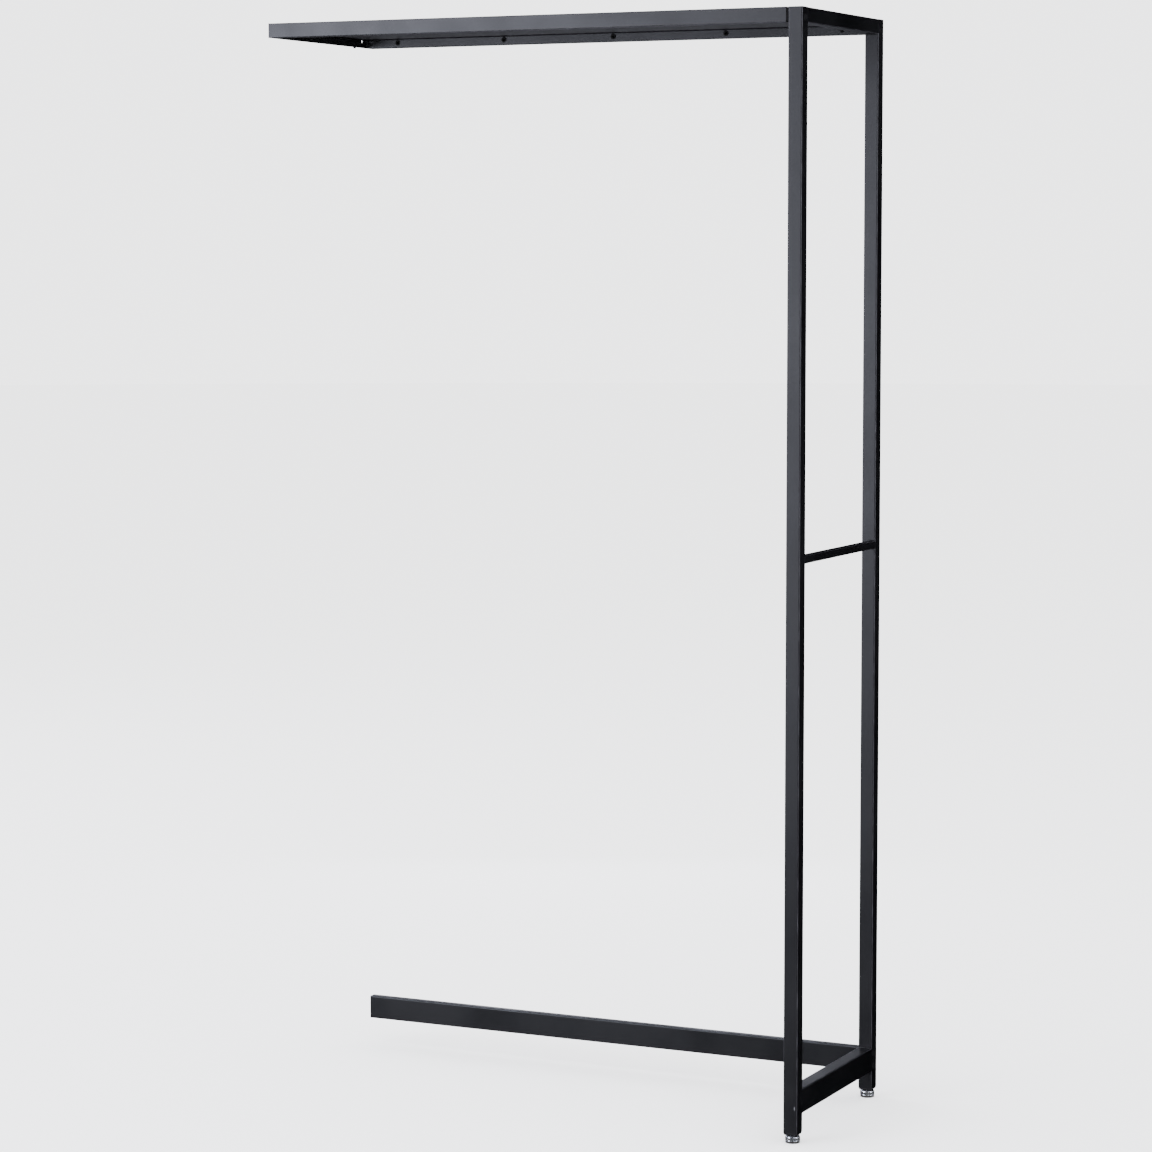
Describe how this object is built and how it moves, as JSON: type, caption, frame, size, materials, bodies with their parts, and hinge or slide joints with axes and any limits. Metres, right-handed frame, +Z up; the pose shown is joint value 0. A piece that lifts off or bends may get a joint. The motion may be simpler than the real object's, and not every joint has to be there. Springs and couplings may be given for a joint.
{
  "type": "gondola shelving unit",
  "caption": "Add-on frame bay for retail shelving, open at one end: slotted end frame on levelling feet, stepped top frame with a drop-in panel, rear bottom beam.",
  "frame": {"origin": "on the floor, at the middle of the bay's width and depth", "axes": "+X towards the end frame with the posts, +Y towards the rear, +Z up"},
  "size_m": [1.2, 0.45, 2.25],
  "materials": {
    "black_powder_coat": "fine-textured semi-gloss black powder coat",
    "panel_laminate": "matt black laminate on board",
    "zinc_plated_steel": "bright zinc plate",
    "black_oxide_steel": "black oxide",
    "block_steel": "black coated steel block",
    "black_plastic": "black moulded nylon",
    "sole_rubber": "black rubber"
  },
  "bodies": {
    "frame": {"front_post": "black_powder_coat", "rear_post": "black_powder_coat", "front_post_cap": "black_powder_coat", "rear_post_cap": "black_powder_coat", "end_top_rail": "black_powder_coat", "end_mid_rail": "black_powder_coat", "end_bottom_rail": "black_powder_coat", "front_top_beam": "black_powder_coat", "rear_top_beam": "black_powder_coat", "front_beam_joint_block": "block_steel", "rear_beam_joint_block": "block_steel", "rear_beam_rivet_nuts": "black_powder_coat", "left_end_plate": "black_powder_coat", "top_panel": "panel_laminate", "rear_bottom_beam": "black_powder_coat", "bottom_beam_left_block": "block_steel", "bottom_beam_right_block": "block_steel", "top_frame_bolts": "black_oxide_steel", "bottom_beam_bolts": "black_oxide_steel", "bolt_hole_plugs": "black_plastic", "front_foot_insert": "black_plastic", "rear_foot_insert": "black_plastic", "front_foot_nut": "zinc_plated_steel", "rear_foot_nut": "zinc_plated_steel"},
    "front_foot_pad": {"front_foot_sole": "sole_rubber"},
    "front_foot_screw": {"front_foot_stud": "zinc_plated_steel", "front_foot_cup": "zinc_plated_steel"},
    "rear_foot_pad": {"rear_foot_sole": "sole_rubber"},
    "rear_foot_screw": {"rear_foot_stud": "zinc_plated_steel", "rear_foot_cup": "zinc_plated_steel"}
  },
  "joints": [
    {"name": "front_foot_travel", "type": "slide", "parent": "frame", "child": "front_foot_pad", "axis": [0, 0, -1], "range_m": [-0.0015, 0.015]},
    {"name": "front_foot_turn", "type": "hinge", "parent": "front_foot_pad", "child": "front_foot_screw", "pos_m": [0.585, -0.21, 0], "axis": [0, 0, -1], "range_deg": [-360, 3600]},
    {"name": "rear_foot_travel", "type": "slide", "parent": "frame", "child": "rear_foot_pad", "axis": [0, 0, -1], "range_m": [-0.0015, 0.015]},
    {"name": "rear_foot_turn", "type": "hinge", "parent": "rear_foot_pad", "child": "rear_foot_screw", "pos_m": [0.585, 0.21, 0], "axis": [0, 0, -1], "range_deg": [-360, 3600]}
  ],
  "couplings": [
    {"joint": "front_foot_turn", "follows": "front_foot_travel", "rad_per_m": 4188.8},
    {"joint": "rear_foot_turn", "follows": "rear_foot_travel", "rad_per_m": 4188.8}
  ]
}
